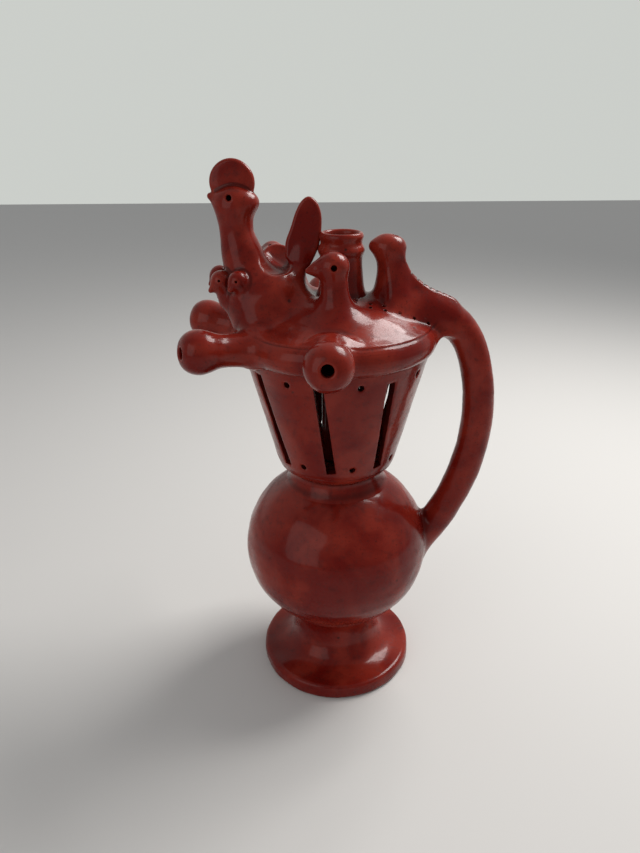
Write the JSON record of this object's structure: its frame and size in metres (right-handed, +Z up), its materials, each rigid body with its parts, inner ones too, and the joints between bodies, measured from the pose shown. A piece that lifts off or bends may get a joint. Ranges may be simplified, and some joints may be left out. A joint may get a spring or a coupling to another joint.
{
  "type": "ceramic puzzle jug",
  "caption": "Glazed ceramic puzzle jug with a round belly on a foot, an openwork collar, a closed chamber with nozzles and modelled birds, an upright filler and a hollow handle.",
  "frame": {"origin": "middle of the foot's underside", "axes": "+Z up along the thrown axis, +X towards the handle, -X towards the large bird"},
  "size_m": [0.1638, 0.1612, 0.2885],
  "materials": {
    "oxblood_glaze": "gloss"
  },
  "bodies": {
    "root": {"foot": "oxblood_glaze", "belly": "oxblood_glaze", "belly_neck": "oxblood_glaze", "collar_floor": "oxblood_glaze", "openwork_collar": "oxblood_glaze", "filler_tube": "oxblood_glaze", "chamber_floor": "oxblood_glaze", "chamber_dome": "oxblood_glaze", "filler_neck": "oxblood_glaze", "front_nozzle": "oxblood_glaze", "left_nozzle": "oxblood_glaze", "left_rear_nozzle": "oxblood_glaze", "back_nozzle": "oxblood_glaze", "large_bird": "oxblood_glaze", "large_bird_comb": "oxblood_glaze", "large_bird_tail": "oxblood_glaze", "chick_front": "oxblood_glaze", "chick_middle": "oxblood_glaze", "chick_rear": "oxblood_glaze", "front_bird": "oxblood_glaze", "far_bird": "oxblood_glaze", "rear_bird": "oxblood_glaze", "toothed_crest": "oxblood_glaze", "handle": "oxblood_glaze"}
  },
  "joints": []
}
